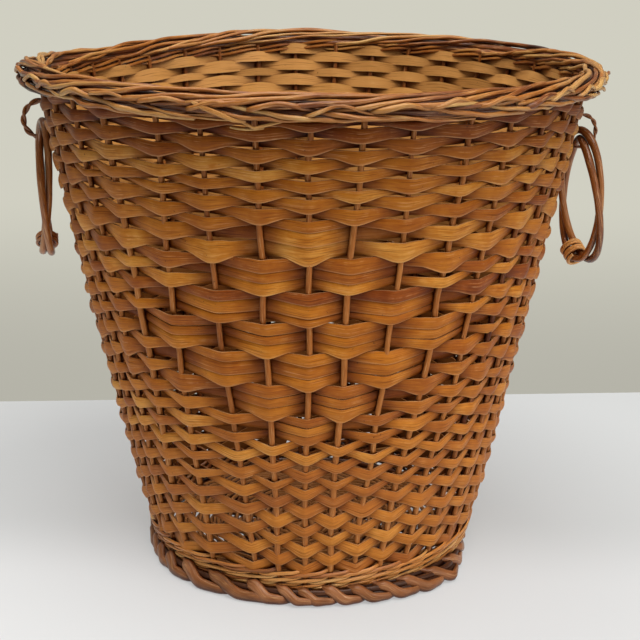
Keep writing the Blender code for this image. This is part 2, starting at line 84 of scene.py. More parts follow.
# How far the front stakes stray from their even places, in degrees, for stakes -9 to 9 from the front
STRAY_STAKES = np.arange(-9, 10)
STRAY_HEIGHTS = (0.030, 0.154, 0.262)
STRAY_LOW = (0, -1, -3, -5, -7, -7.5, -4.6, 1.4, .3, -1.3, -2.9, -4.2, -4.9, -5, -4, -3, -2, -1, 0)
STRAY_MIDDLE = (0, 0, -.5, -1.5, -3, -3.6, -3.2, -.6, .4, .3, -1, -.6, .9, 1.5, 1.5, 1, .5, 0, 0)
STRAY_HIGH = (0, -1.5, -3, -4.6, -4.1, -4, -.6, -1, 0, 0, -.5, .3, 2.1, 2.6, 3.4, 2.8, 1.5, .5, 0)


def unit(vectors):
    """Vectors divided by their lengths."""
    return vectors / np.linalg.norm(vectors, axis=-1, keepdims=True)


def polar(turn, radius, height):
    """Point at a turn from the front towards +X: (radius sin turn, -radius cos turn, height)."""
    return np.stack(np.broadcast_arrays(radius * np.sin(turn), -radius * np.cos(turn), height), axis=-1)


def wall_radius(height):
    """Radius of the wall's middle line: a straight taper and a slight half-sine bulge."""
    swell = WALL_BULGE * np.sin(math.pi * np.clip(height / RIM_HEIGHT, 0, 1))
    return WALL_FOOT_RADIUS + WALL_LOOSENESS + WALL_SLOPE * (height - STAKE_FOOT) + swell


def leaned(path):
    """Moves points sideways, from the foot's shift at the floor to none high up the wall.

    Near the floor the round wall also becomes an oval that is narrower from side to side, and the rim
    sinks a little at the back left.
    """
    height = path[..., 2:]
    oval = 1 + FOOT_STRETCH * (1 - smooth(height / STRETCH_TOP))
    turn = np.arctan2(path[..., :1], -path[..., 1:2])
    away = np.abs((turn - DROOP_TURN + math.pi) % TAU - math.pi) / DROOP_REACH
    sunk = DROOP * (1 - smooth(away)) * smooth((height - DROOP_FOOT) / (RIM_HEIGHT - DROOP_FOOT))
    return path * oval + FOOT_SHIFT * (1 - smooth(height / SHIFT_TOP)) - sunk * np.array([0.0, 0.0, 1.0])


def wall_outward(turn):
    """Unit direction square to the leaning wall: out by cos(lean) and down by sin(lean)."""
    return polar(turn, math.cos(LEAN), -math.sin(LEAN))


def off_wall(turn, height, depth):
    """Point at a depth out from the wall's middle line, square to the wall."""
    return polar(turn, wall_radius(height), height) + depth[:, None] * wall_outward(turn)


def smooth(value):
    """Smoothstep of a value held between 0 and 1: 3 v^2 - 2 v^3."""
    value = np.clip(value, 0, 1)
    return value * value * (3 - 2 * value)


def through(value, places, heights):
    """Curve that eases from each height to the next, level at every place, by smoothstep."""
    places, heights = np.asarray(places, float), np.asarray(heights, float)
    cell = np.clip(np.searchsorted(places, value, side="right") - 1, 0, len(places) - 2)
    share = smooth((value - places[cell]) / (places[cell + 1] - places[cell]))
    return heights[cell] + (heights[cell + 1] - heights[cell]) * share


def wander(rng, count, reach):
    """Slow random wander of spread 1: white noise under a sliding bell of the given reach."""
    bell = np.hanning(2 * reach + 3)[1:-1]
    waves = np.convolve(rng.normal(size=count + 2 * reach), bell, mode="valid")
    return waves / np.sqrt((bell ** 2).sum())


def per_stake(rng, middle, spread):
    """One random value for each stake, as a column."""
    return rng.normal(middle, spread, (STAKE_COUNT, 1))


def wandering_rods(rng, steps, reach, rods=STAKE_COUNT):
    """A slow random wander for each rod."""
    return np.stack([wander(rng, steps, reach) for _ in range(rods)])


def stake_turn(crossing, height):
    """Turn of a stake from the front: its even place plus its own stray, blended by height.

    Stakes are counted from the back, so that number 18 stands at the front.
    """
    crossing = np.asarray(crossing)
    from_front = crossing % STAKE_COUNT - STAKE_COUNT // 2
    strays = [np.interp(from_front, STRAY_STAKES, stray) for stray in (STRAY_LOW, STRAY_MIDDLE, STRAY_HIGH)]
    climb = smooth((height - STRAY_HEIGHTS[0]) / (STRAY_HEIGHTS[1] - STRAY_HEIGHTS[0]))
    rest = smooth((height - STRAY_HEIGHTS[1]) / (STRAY_HEIGHTS[2] - STRAY_HEIGHTS[1]))
    stray = strays[0] + (strays[1] - strays[0]) * climb + (strays[2] - strays[1]) * rest
    return (crossing - STAKE_COUNT // 2) * SPACING + np.radians(stray)


def turn_between(cell, share, height):
    """Turn at a share of the way from one stake to the next."""
    first_turn = stake_turn(cell, height)
    return first_turn + (stake_turn(cell + 1, height) - first_turn) * share


def add_object(name, data):
    """A new object in the scene."""
    thing = bpy.data.objects.new(name, data)
    bpy.context.scene.collection.objects.link(thing)
    return thing


def sweep(name, path, outward, section, first, tone, material, body="basket", nodes=(), slot=None, lit=None):
    """One mesh of many rods, with the section's points carried along the path.

    Point = path + across * section[0] + out * section[1], where out is the outward direction made square
    to the path and across = out x along. first marks the ring where each rod begins, and both ends of a
    rod are closed with quads. UV is (metres along, share of the way round), with a share of -1 on cut ends.
    """
    count, sides = section.shape[:2]
    if body == "basket":
        path = leaned(path)
    last = np.roll(first, -1)
    ahead = np.where(last[:, None], 0, np.roll(path, -1, axis=0) - path)
    behind = np.where(first[:, None], 0, path - np.roll(path, 1, axis=0))
    along = unit(ahead + behind)
    out = unit(outward - along * (outward * along).sum(axis=-1, keepdims=True))
    across = np.cross(out, along)
    points = path[:, None] + section[..., :1] * across[:, None] + section[..., 1:] * out[:, None]
    travel = np.cumsum(np.linalg.norm(behind, axis=-1) + np.where(first, 0.05, 0))

    side = np.arange(sides)
    after = (side + 1) % sides
    ring = np.flatnonzero(~last)[:, None] * sides
    walls = np.stack([ring + side, ring + after, ring + sides + after, ring + sides + side], axis=-1)
    wall_u = travel[walls // sides]
    wall_v = np.broadcast_to(np.stack([side, side + 1, side + 1, side], axis=-1) / sides, walls.shape)
    half = np.arange(sides // 2 - 1)
    cap = np.stack([half, half + 1, sides - 2 - half, sides - 1 - half], axis=-1)
    ends = np.flatnonzero(last)[:, None, None] * sides + cap
    starts = np.flatnonzero(first)[:, None, None] * sides + cap[:, ::-1]
    caps = np.concatenate([ends, starts]).reshape(-1, 4)
    faces = np.concatenate([walls.reshape(-1, 4), caps])
    corners = np.concatenate([
        np.stack([wall_u, wall_v], axis=-1).reshape(-1, 2),
        np.stack([travel[caps // sides], np.full(caps.shape, -1.0)], axis=-1).reshape(-1, 2),
    ])

    mesh = bpy.data.meshes.new(name)
    mesh.vertices.add(count * sides)
    mesh.vertices.foreach_set("co", points.ravel())
    mesh.loops.add(faces.size)
    mesh.loops.foreach_set("vertex_index", faces.ravel().astype(np.int32))
    mesh.polygons.add(len(faces))
    mesh.polygons.foreach_set("loop_start", np.arange(0, faces.size, 4, dtype=np.int32))
    mesh.uv_layers.new(name="UVMap").data.foreach_set("uv", corners.ravel().astype(np.float32))
    for label, values in (("tone", tone), ("lit", np.ones(count) if lit is None else lit)):
        mesh.attributes.new(label, "FLOAT", "POINT").data.foreach_set(
            "value", np.repeat(values, sides).astype(np.float32))
    mesh.update(calc_edges=True)
    mesh.validate()
    mesh.shade_smooth()
    mesh.set_sharp_from_angle(angle=math.radians(55))
    mesh.materials.append(material)
    piece = add_object(name, mesh)
    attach(piece, body)
    if nodes:
        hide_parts(*nodes)


def round_section(radius, sides, flat=1.0):
    """Ellipse of points for each ring: (radius cos a, radius * flat * sin a)."""
    angle = TAU * np.arange(sides) / sides
    circle = np.stack([np.cos(angle), flat * np.sin(angle)], axis=-1)
    return np.asarray(radius)[:, None, None] * circle


def first_marks(rods, steps):
    """Marks the first ring of each of a number of rods with the same count of steps."""
    marks = np.zeros((rods, steps), bool)
    marks[:, 0] = True
    return marks.ravel()


class Finish:
    """One finish in the making. Every node comes from the node method."""

    def __init__(self, name):
        self.material = bpy.data.materials.new(name)
        self.material.use_nodes = True
        self.tree = self.material.node_tree
        self.shader = self.tree.nodes["Principled BSDF"]

    def node(self, kind, output=0, stops=None, sockets=(), **settings):
        """Adds a node: its settings and a ramp's stops first, then the values or links of its sockets."""
        node = self.tree.nodes.new("ShaderNode" + kind)
        for setting, value in settings.items():
            setattr(node, setting, value)
        if stops:
            ramp = node.color_ramp
            while len(ramp.elements) < len(stops):
                ramp.elements.new(1.0)
            for element, (place, colour) in zip(ramp.elements, stops):
                element.position = place
                element.color = (*colour, 1)
        for socket, value in dict(sockets).items():
            self.feed(node.inputs[socket], value)
        return Value(self, node.outputs[output])

    def feed(self, socket, value):
        """Links a value to a socket, or sets the socket's own number or colour."""
        if isinstance(value, Value):
            self.tree.links.new(value.socket, socket)
        elif isinstance(value, tuple) and len(value) == 3 and len(socket.default_value) == 4:
            socket.default_value = (*value, 1)
        else:
            socket.default_value = value

    def noise(self, vector, scale, detail=2.0, roughness=0.5, distortion=0.0):
        """Grey noise between 0 and 1."""
        return self.node("TexNoise", sockets={
            "Vector": vector, "Scale": scale, "Detail": detail,
            "Roughness": roughness, "Distortion": distortion})

    def blend(self, share, first, second, how="MIX"):
        """Colour between two colours."""
        return self.node("Mix", output=2, data_type="RGBA", blend_type=how,
                         sockets={0: share, 6: first, 7: second})

    def set(self, **values):
        """Feeds the shader's sockets, named with underscores for spaces."""
        for name, value in values.items():
            self.feed(self.shader.inputs[name.replace("_", " ")], value)


class Value:
    """A socket that can be added, multiplied and compared: each sign adds its Math node."""

    def __init__(self, finish, socket):
        self.finish = finish
        self.socket = socket

    def math(self, operation, other, swapped=False):
        """Math node on this value and another, or on the other one first."""
        terms = (other, self) if swapped else (self, other)
        return self.finish.node("Math", operation=operation, sockets=enumerate(terms))

    def __add__(self, other):
        return self.math("ADD", other)

    def __sub__(self, other):
        return self.math("SUBTRACT", other)

    def __rsub__(self, other):
        return self.math("SUBTRACT", other, swapped=True)

    def __mul__(self, other):
        return self.math("MULTIPLY", other)

    __radd__ = __add__

    def rise(self, low, high):
        """0 below low, 1 above high, smooth between: it falls where low is above high."""
        return self.finish.node("MapRange", interpolation_type="SMOOTHSTEP", sockets={
            "Value": self, "From Min": low, "From Max": high, "To Min": 0.0, "To Max": 1.0})


# Heights between which rods turn browner and darker upwards, partly their own colour and partly painted shade
# under the rim, pinker downwards, and darker inside the basket, a painted shade
BROWN_AND_SHADE_BAND, PINK_BAND, DARK_INSIDE_BAND = (0.17, 0.285), (0.16, 0.06), (0.240, 0.12)
BROWNER_AND_SHADED, PINKER, INNER_OCHRE = (0.52, 0.48, 0.39), (0.72, 0.29, 0.085), (0.76, 0.40, 0.125)
# Pale wood colour, also used as painted highlight on split edges and rim rods
PALE_WOOD_AND_HIGHLIGHT = (0.80, 0.48, 0.23)
# Colour that painted shade darkens towards: in narrow gaps, behind stakes and on the darkest rods
PAINTED_CREVICE_SHADE = (0.24, 0.10, 0.025)
CRACK = (0.34, 0.20, 0.11)
IN_SHADE = (0.13, 0.07, 0.035)
DARK_SPECK = (0.045, 0.014, 0.006)
SPLIT_TONES = (
    (0.00, (0.170, 0.032, 0.004)),
    (0.25, (0.310, 0.073, 0.008)),
    (0.50, (0.450, 0.130, 0.011)),
    (0.75, (0.600, 0.205, 0.018)),
    (1.00, (0.800, 0.370, 0.070)),
)
STAKE_TONES = (
    (0.00, (0.200, 0.050, 0.010)),
    (0.50, (0.400, 0.125, 0.022)),
    (1.00, (0.560, 0.210, 0.045)),
)
BORDER_TONES = (
    (0.00, (0.170, 0.044, 0.007)),
    (0.18, (0.330, 0.088, 0.013)),
    (0.50, (0.680, 0.255, 0.045)),
    (1.00, (1.000, 0.620, 0.230)),
)
FOOT_TONES = (
    (0.00, (0.018, 0.005, 0.002)),
    (0.22, (0.105, 0.032, 0.011)),
    (0.50, (0.210, 0.068, 0.025)),
    (1.00, (0.500, 0.240, 0.120)),
)
HANDLE_TONES = (
    (0.00, (0.140, 0.036, 0.008)),
    (0.50, (0.340, 0.105, 0.020)),
    (1.00, (0.560, 0.230, 0.055)),
)
# Base rods, much darker than their wood: a painted shade inside the basket
SHADED_BASE_TONES = (
    (0.00, (0.050, 0.017, 0.005)),
    (1.00, (0.130, 0.052, 0.016)),
)


def willow(name, tones, split=False, shaded=False, shade=(0.86, 0.16), wear_and_highlight=0.42,
           roughness=0.42, shine=0.15, coat=0.04):
    """Varnished willow: each rod's own tone, long grain, slow stains, specks, and pale rubbed edges and
    streaks that are partly painted highlight.

    The grain is noise on UV stretched along the rod. Lower rods are lighter and pinker, upper ones browner
    and darker, partly their own colour and partly painted shade under the rim.
    A split rod is pale at its two cut edges, from its own pale wood and, on the upper edge, partly from a
    painted highlight, and ochre on its inner face. A shaded rod is dark on its inner face low in the basket,
    a painted shade. Narrow gaps darken as their share of open air falls between shade's two limits: painted
    shade.
    """
    finish = Finish(name)
    uv = finish.node("TexCoord", output=2)
    place = finish.node("TexCoord", output=3)
    tone = finish.node("Attribute", output=2, attribute_name="tone")
    height = finish.node("SeparateXYZ", output=2, sockets={0: place})
    share = finish.node("SeparateXYZ", output=1, sockets={0: uv})
    lit = finish.node("Attribute", output=2, attribute_name="lit")

    def stretched(along, around):
        """UV for a pattern with so many spots to the metre along the rod and so many round it."""
        return finish.node("VectorMath", operation="MULTIPLY", sockets={0: uv, 1: (along, around, 1.0)})

    slow = finish.noise(place, 38.0, 2.0)
    stain = finish.noise(place, 120.0, 3.0, 0.6)
    grain = finish.noise(stretched(90.0, 20.0), 1.0, 3.0, 0.6, 0.4)
    fibre = finish.noise(stretched(260.0, 90.0), 1.0, 2.0, 0.7)
    speck_areas = finish.noise(place, 60.0, 1.0).rise(0.45, 0.6)
    specks = finish.noise(place, 620.0, 1.0).rise(0.735, 0.80) * speck_areas

    colour = finish.node("ValToRGB", stops=tones, sockets={
        0: tone + (slow - 0.5) * 0.55 + (stain - 0.5) * 0.30 + (grain - 0.5) * 0.62})
    # Browner and darker towards the top: partly the wood's colour, partly painted shade under the rim
    layers = [(height.rise(*BROWN_AND_SHADE_BAND) * 0.85, BROWNER_AND_SHADED, "MULTIPLY"),
              (height.rise(*PINK_BAND) * 0.22, PINKER, "MIX")]
    # Ambient occlusion: how much open air a point sees, used for painted shade in narrow gaps
    open_air = finish.node("AmbientOcclusion", output=1, samples=4, sockets={"Distance": 0.008})
    if split:
        inner = share.rise(0.48, 0.52) * share.rise(0.92, 0.88)
        lower_edge = share.rise(0.33, 0.42) * share.rise(0.52, 0.49)
        upper_edge = share.rise(0.90, 0.92)
        # Pale cut edges: the split's own pale wood, and on the upper edge partly a painted highlight
        pale_edge_and_highlight = (lower_edge * 0.40 + upper_edge * 0.60) * (stain * 0.9 + 0.45)
        facing = lit * (1 - inner * 2)
        streak = finish.noise(stretched(40.0, 34.0), 1.0, 2.0, 0.6, 0.3)
        crack = streak.rise(0.57, 0.66)
        pale = streak.rise(0.44, 0.33) * stain.rise(0.40, 0.62)
        layers += [(inner * 0.72, INNER_OCHRE, "MIX"),
                   (pale * 0.30, PALE_WOOD_AND_HIGHLIGHT, "MIX"),
                   (crack * 0.62, CRACK, "MULTIPLY"),
                   (pale_edge_and_highlight, PALE_WOOD_AND_HIGHLIGHT, "MIX"),
                   # Painted shade: inner faces are dark low in the basket
                   (inner * height.rise(*DARK_INSIDE_BAND) * 0.95, IN_SHADE, "MULTIPLY"),
                   # Painted shade where a strand passes behind a stake: the outer face darkens there, the
                   # inner face less
                   (facing.rise(0.50, -0.80) * (0.75 - inner * 0.45), PAINTED_CREVICE_SHADE, "MULTIPLY")]
    else:
        # Pale streaks along the grain: rubbed pale wood, and partly a painted highlight on the rim's rods
        layers += [(grain.rise(0.52, 0.72) * wear_and_highlight, PALE_WOOD_AND_HIGHLIGHT, "MIX"),
                   (grain.rise(0.44, 0.30) * 0.45, CRACK, "MULTIPLY"),
                   # Rods of the lowest tone, such as the foot's heart rods, darkened further as painted shade
                   (tone.rise(0.09, 0.02) * 0.80, PAINTED_CREVICE_SHADE, "MULTIPLY")]
        if shaded:
            # Painted shade on the inner side of the rod, low in the basket
            inner = share.rise(0.46, 0.54) * share.rise(1.04, 0.96) * height.rise(*DARK_INSIDE_BAND)
            layers.append((inner * 0.90, IN_SHADE, "MULTIPLY"))
    # Painted shade where little open air reaches
    layers += [(open_air.rise(*shade) * 0.95, PAINTED_CREVICE_SHADE, "MULTIPLY"),
               (share.rise(-0.4, -0.6) * 0.8, PALE_WOOD_AND_HIGHLIGHT, "MIX"),
               (specks * 0.75, DARK_SPECK, "MIX")]
    for cover, paint, how in layers:
        colour = finish.blend(cover, colour, paint, how)
    bump = finish.node("Bump", sockets={
        "Strength": 0.35, "Distance": 0.0004, "Height": grain * 0.7 + fibre * 0.3})
    finish.set(Base_Color=colour, Roughness=roughness - 0.12 + grain * 0.24, Normal=bump,
               Specular_IOR_Level=shine, Coat_Weight=coat, Coat_Roughness=0.22, Coat_IOR=1.4)
    return finish.material


def round_boundary(rounds):
    """Height where one round ends and the next begins, at a number of rounds up the spiral.

    The lower rounds get steadily lower, the pattern's courses of three have heights of their own, and the
    upper rounds are alike.
    """
    lower_pitches = np.linspace(LOWER_PITCH_FIRST, LOWER_PITCH_LAST, LOWER_ROUNDS)
    pattern_pitches = np.repeat(np.array(COURSE_SHARES) * PATTERN_PITCH, 3)
    pitches = np.concatenate([lower_pitches, pattern_pitches, np.full(UPPER_ROUNDS + 2, UPPER_PITCH)])
    return WEAVE_FOOT + np.interp(rounds, np.arange(len(pitches) + 1), np.append(0, np.cumsum(pitches)))


def weave_sides():
    """Side of each crossing up the spiral, +1 outside and -1 inside the stake.

    Sides alternate along the strand. In each course of three, the middle round changes sides over the
    stakes nearest the front, more of them towards the middle course, which draws the diamond.
    """
    crossing = np.arange((ROUNDS + 2) * STAKE_COUNT)
    from_front = crossing % STAKE_COUNT - STAKE_COUNT // 2
    row = crossing // STAKE_COUNT
    side = np.where(crossing % 2 == 0, 1, -1)
    course, place = (row - LOWER_ROUNDS) // 3, (row - LOWER_ROUNDS) % 3
    inside = (course >= 0) & (course < len(DIAMOND_REACH)) & (place == 1)
    reach = np.array(DIAMOND_REACH)[np.clip(course, 0, len(DIAMOND_REACH) - 1)]
    return np.where(inside & (np.abs(from_front) <= reach), -side, side)


def by_zone(rounds, lower, pattern, upper):
    """Value for each zone of the wall, eased over one round where zones meet."""
    return (lower + (pattern - lower) * smooth(rounds - LOWER_ROUNDS + 0.5)
            + (upper - pattern) * smooth(rounds - LOWER_ROUNDS - PATTERN_ROUNDS + 0.5))


STEP_SHARES = np.array([0, 0.06, 0.15, 0.28, 0.40, 0.5, 0.60, 0.72, 0.85, 0.94])
BEND_REACH = 0.11
SPLICE_REACH = 0.42
SWING = STAKE_RADIUS + SPLIT_THICKNESS / 2 + 0.0001
# Irregularity of the strands: its size, and over how many crossings it reaches
EDGE_WANDERS = ((0.00030, 4), (0.00036, 30))
DEPTH_WANDER, TILT_WANDER, WIDTH_WANDER = (0.00026, 1), (0.00036, 2), (0.35, 6)
# For the lower, pattern and upper zones: extra width at a stake, width between stakes, sag at a stake, and
# how much closer the rounds lie at the back
ZONE_SPREADS, INNER_SPREAD = (0.15, 0.36, 0.48), 0.45
ZONE_WAISTS = (0.94, 1.00, 1.00)
ZONE_DIPS = (0.0023, 0.0010, 0.0007)
BACK_SNUG, FRONT_GAP = (0.00110, 0.00060, 0.00045), 0.00010
UPWARD_GROWTH, DOWNWARD_GROWTH = 0.45, 1.25
# A joined rod starts deeper and ends a little deeper, and is thinner at both ends
START_TUCK, END_TUCK, END_THINNING = 0.0013, 0.0003, 0.45
# Section of a split rod: place across it and height of its face, in thicknesses
SECTION_ACROSS = np.array([1, 0.55, 0, -0.55, -1, -1, -0.55, 0, 0.55, 1])
SECTION_FACE = np.array([0.06, 0.47, 0.66, 0.47, 0.06, -0.5, -0.5, -0.46, -0.5, -0.5])


def zone_start(rounds):
    """First crossing of a zone: at the back, and behind a stake, where a join doesn't show."""
    crossing = rounds * STAKE_COUNT
    return crossing + 1 - crossing % 2


def strand_spans(rng, side, first_crossing, last_crossing):
    """Where each split rod begins and ends, in crossings: mostly 26 to 65 apart, each join behind a stake."""
    spans, start = [], first_crossing
    while start < last_crossing:
        end = start + int(rng.integers(26, 64))
        for _ in range(2):
            end += int(side[end] > 0)
        if last_crossing - end < 20:
            end = last_crossing
        spans.append((start, end))
        start = end
    return spans


def weave(name, first_round, last_round, material, nodes):
    """Split willow woven in a spiral, in front of one stake and behind the next.

    Along the strand: out from the wall by swing * side, straight between stakes with a small parabola
    bend at each. Across it: a crowned ten-point section that grows at a stake where it lies alone, and
    dips there on the outer side.
    """
    rng = np.random.default_rng(40 + first_round)
    noise = np.random.default_rng(7)
    crossings = (ROUNDS + 3) * STAKE_COUNT
    edge_noise, long_edge_noise, depth_noise, tilt_noise, width_noise = (
        wander(noise, crossings, reach) * size
        for size, reach in (*EDGE_WANDERS, DEPTH_WANDER, TILT_WANDER, WIDTH_WANDER))
    edge_noise = edge_noise + long_edge_noise
    side = weave_sides()

    first_crossing, last_crossing = zone_start(first_round), zone_start(last_round)
    grid = (np.arange(first_crossing - 1, last_crossing + 1)[:, None] + STEP_SHARES).ravel()
    parts = []
    for start, end in strand_spans(rng, side, first_crossing, last_crossing):
        low, high = start - SPLICE_REACH, end + SPLICE_REACH
        part = grid[(grid >= max(low, 0)) & (grid <= high)]
        parts.append((part, np.arange(len(part)) == 0, np.full(len(part), strand_tone(rng, start)),
                      np.clip(1 - (part - low) / (2 * SPLICE_REACH), 0, 1),
                      np.clip(1 - (high - part) / (2 * SPLICE_REACH), 0, 1)))
    at, first, tone, fresh, stale = (np.concatenate(column) for column in zip(*parts))
    tone = tone + wander(rng, len(at), 50) * 0.09

    cell = np.clip(at.astype(int), 0, len(side) - STAKE_COUNT - 2)
    share = at - cell
    rounds = at / STAKE_COUNT

    def noisy(wave, ahead=0):
        """A wander of the crossings, read along the strand or a number of crossings further on."""
        return np.interp(at + ahead, np.arange(crossings), wave)

    low_edge = round_boundary(rounds) + noisy(edge_noise)
    high_edge = round_boundary(rounds + 1) + noisy(edge_noise, STAKE_COUNT)
    middle = (low_edge + high_edge) / 2
    half = (high_edge - low_edge) / 2

    bend = np.where(share < BEND_REACH, share ** 2 / (2 * BEND_REACH), share - BEND_REACH / 2)
    bend = np.where(share > 1 - BEND_REACH, 1 - BEND_REACH - (1 - share) ** 2 / (2 * BEND_REACH), bend)
    bend = bend / (1 - BEND_REACH)
    out = side[cell] + (side[cell + 1] - side[cell]) * bend
    near = np.where(share < 0.5, cell, cell + 1)
    level_top = smooth((np.abs(out) - 0.04) / 0.66)
    peak = np.clip((np.abs(out) - 0.06) / 0.86, 0, 1)

    spread = by_zone(rounds, *ZONE_SPREADS) * np.where(out < 0, INNER_SPREAD, 1)
    waist = by_zone(rounds, *ZONE_WAISTS)
    dip = by_zone(rounds, *ZONE_DIPS)
    below = np.where(near >= STAKE_COUNT, side[np.maximum(near - STAKE_COUNT, 0)], side[near])
    room_up = np.where(side[near] != side[near + STAKE_COUNT], 1, 0)
    room_down = np.where(side[near] != below, 1, 0)
    grow = 1 + noisy(width_noise)
    turn = turn_between(cell, share, middle)
    snug = by_zone(rounds, *BACK_SNUG) * smooth(-1.6 * np.cos(turn)) - FRONT_GAP
    up = half * (waist + (1 + UPWARD_GROWTH * spread * room_up * grow - waist) * level_top) + snug
    down = half * (waist + (1 + DOWNWARD_GROWTH * spread * room_down * grow - waist) * peak) + snug

    depth = SWING * out + noisy(depth_noise) - START_TUCK * smooth(fresh * 1.3) - END_TUCK * stale
    path = off_wall(turn, middle - dip * out, depth)

    thick = SPLIT_THICKNESS * (1 - END_THINNING * smooth(fresh) - END_THINNING * smooth(stale))
    spans = np.where(SECTION_ACROSS > 0, up[:, None], down[:, None]) * SECTION_ACROSS
    tilt = noisy(tilt_noise)[:, None] * SECTION_ACROSS
    section = np.stack([spans, thick[:, None] * SECTION_FACE + tilt], axis=-1)
    # The strand's side of the stakes goes to the lit attribute, from which the finish paints shade behind
    # stakes
    sweep(name, path, wall_outward(turn), section, first, np.clip(tone, 0, 1), material,
          nodes=nodes, slot="split_willow", lit=out)


# Tone of each round where it passes the front, counted up from the foot wale: low is reddish, high is golden
LOWER_TONES = (.60, .56, .62, .66, .72, .66, .44, .40, .66, .70, .60, .70, .72, .74)
PATTERN_TONES = (.52, .68, .74, .70, .66, .56, .54, .60, .68, .46, .64,
                 .57, .64, .54, .40, .62, .44, .60, .66, .62, .38)
UPPER_TONES = (.58, .60, .62, .66, .60, .30, .52, .55, .48, .40)
ROUND_TONES = LOWER_TONES + PATTERN_TONES + UPPER_TONES


def strand_tone(rng, start):
    """Tone of the split rod that begins at a crossing: that of the round in which it comes to the front."""
    front_round = (start + STAKE_COUNT // 2) // STAKE_COUNT
    return ROUND_TONES[min(front_round, ROUNDS - 1)] + rng.normal(0, 0.09)


def make_weave(material):
    """The wall's split willow in three pieces, one for each zone."""
    weave("lower_weave", 0, LOWER_ROUNDS, material, ["lower_weaver_1", "lower_weaver_2"])
    weave("pattern_weave", LOWER_ROUNDS, LOWER_ROUNDS + PATTERN_ROUNDS, material,
          [f"pattern_weaver_{number}" for number in range(1, 8)])
    weave("upper_weave", LOWER_ROUNDS + PATTERN_ROUNDS, ROUNDS, material,
          ["upper_weaver_1", "upper_weaver_2"])


STAKE_FOOT_GIRTH, STAKE_TAPER, KNOT_REACH = 0.00178, 0.00030, 0.012


def make_stakes(material):
    """37 round rods up the wall: each follows its stray places, tapers and has a small swelling at a knot."""
    rng = np.random.default_rng(3)
    steps = 72
    height = np.linspace(STAKE_FOOT, STAKE_TOP, steps)[None, :] + np.zeros((STAKE_COUNT, 1))
    rod = np.arange(STAKE_COUNT)[:, None] + np.zeros((1, steps), int)
    sway = wandering_rods(rng, steps, 5)
    turn = stake_turn(rod, height) + 0.0035 * sway
    lift = 0.00022 * wandering_rods(rng, steps, 3)
    climb = (height - STAKE_FOOT) / (STAKE_TOP - STAKE_FOOT)
    knot = 0.10 * np.exp(-((climb - rng.random((STAKE_COUNT, 1))) / KNOT_REACH) ** 2)
    girth = (STAKE_FOOT_GIRTH - STAKE_TAPER * climb) * per_stake(rng, 1, 0.05) * (1 + knot)
    path = polar(turn, wall_radius(height) + lift, height)
    tone = per_stake(rng, 0.5, 0.16) + 0.05 * sway
    lay_rods("stakes", [(path, wall_outward(turn), girth, tone)], 8, material,
             nodes=[f"stake_{number:02d}" for number in range(1, STAKE_COUNT + 1)], slot="stake_willow")


def wale(name, foot, pitch, rounds, radius, seed, material, nodes):
    """Three rods that climb together, each outside two stakes and inside the third.

    With p the share of a rod's stroke of three spacings, it is out for p in 0 to 2/3, and its height is the
    spiral's plus a sawtooth: it rises along the outer stroke and drops behind the stake.
    """
    rng = np.random.default_rng(seed)
    at = np.arange(0, rounds * STAKE_COUNT, 0.125)
    rods = []
    for rod in range(3):
        stroke = ((at - rod) / 3) % 1
        out = through(stroke, (0, 1 / 6, 1 / 2, 5 / 6, 1), (0.1, 1, 1, -1, 0.1))
        saw = np.where(stroke < 2 / 3, 3 * stroke - 1, 1 - 2 * smooth(3 * stroke - 2))
        height = foot + pitch * at / STAKE_COUNT + pitch / 2 * saw + 0.00012 * wander(rng, len(at), 6)
        cell = at.astype(int)
        turn = turn_between(cell, at - cell, height)
        depth = (STAKE_RADIUS + radius) * out + 0.0001 * wander(rng, len(at), 5)
        girth = radius * (1 + 0.06 * wander(rng, len(at), 20))
        tone = 0.5 + 0.2 * wander(rng, len(at), 50)
        rods.append((off_wall(turn, height, depth)[None], wall_outward(turn), girth, tone))
    lay_rods(name, rods, 6, material, nodes=nodes, slot="wale_willow")


def lay_rods(name, groups, sides, material, flat=1.0, **carried):
    """One piece from groups of round rods. A group is (path, outward, girth, tone), as rods by steps.

    Outward, girth and tone may be given for fewer rods or steps than the path has, and are then repeated.
    """
    parts = [(path.reshape(-1, 3), np.broadcast_to(outward, path.shape).reshape(-1, 3),
              *(np.broadcast_to(part, path.shape[:2]).ravel() for part in look), first_marks(*path.shape[:2]))
             for path, outward, *look in groups]
    paths, outs, girths, tones, marks = (np.concatenate(column) for column in zip(*parts))
    sweep(name, paths, outs, round_section(girths, sides, flat), marks, np.clip(tones, 0, 1), material,
          **carried)


def hidden_rods(circles, girth, tone):
    """Whole circles of dark rod that fill a border's heart: each circle is a radius and a height.
    Their darkness is painted shade in the border's gaps.
    """
    turn = np.linspace(0, TAU, 180)[None, :] + math.pi
    radius, height = np.array(circles).T[:, :, None]
    return polar(turn, radius, height), polar(turn, 1.0, 0.0), girth, tone


# Rim, in metres: the roll's middle and half its width and height, the rods' radii, and the braid's path
ROLL_RADIUS, ROLL_HEIGHT, ROLL_HALF_WIDTH, ROLL_HALF_HEIGHT = 0.1568, 0.2836, 0.0064, 0.0053
ROLL_GIRTH, BRAID_GIRTH = 0.00134, 0.00130
KINK_HEIGHT, BRAID_FALL, BRAID_CLIMB = 0.2862, 0.0088, 0.0088
BRAID_PLACES = (-0.66, -0.36, 0.05, 0.64, 1.25, 1.9, 2.6)
BRAID_RADII = (0.1592, 0.1644, 0.1640, 0.1617, 0.1640, 0.1630, 0.1596)
RIM_HEART = ((0.1540, 0.2818), (0.1572, 0.2846), (0.1596, 0.2812))


def rim_rod_look(rng, steps, girth, thinning, tone):
    """Girth and tone of the rim's rods: each has its own, and both wander a little along it."""
    girth = girth * per_stake(rng, 1, 0.12) * thinning
    girth = girth * (1 + 0.05 * wandering_rods(rng, steps, 3))
    return girth, per_stake(rng, tone, 0.20) + 0.10 * wandering_rods(rng, steps, 6)


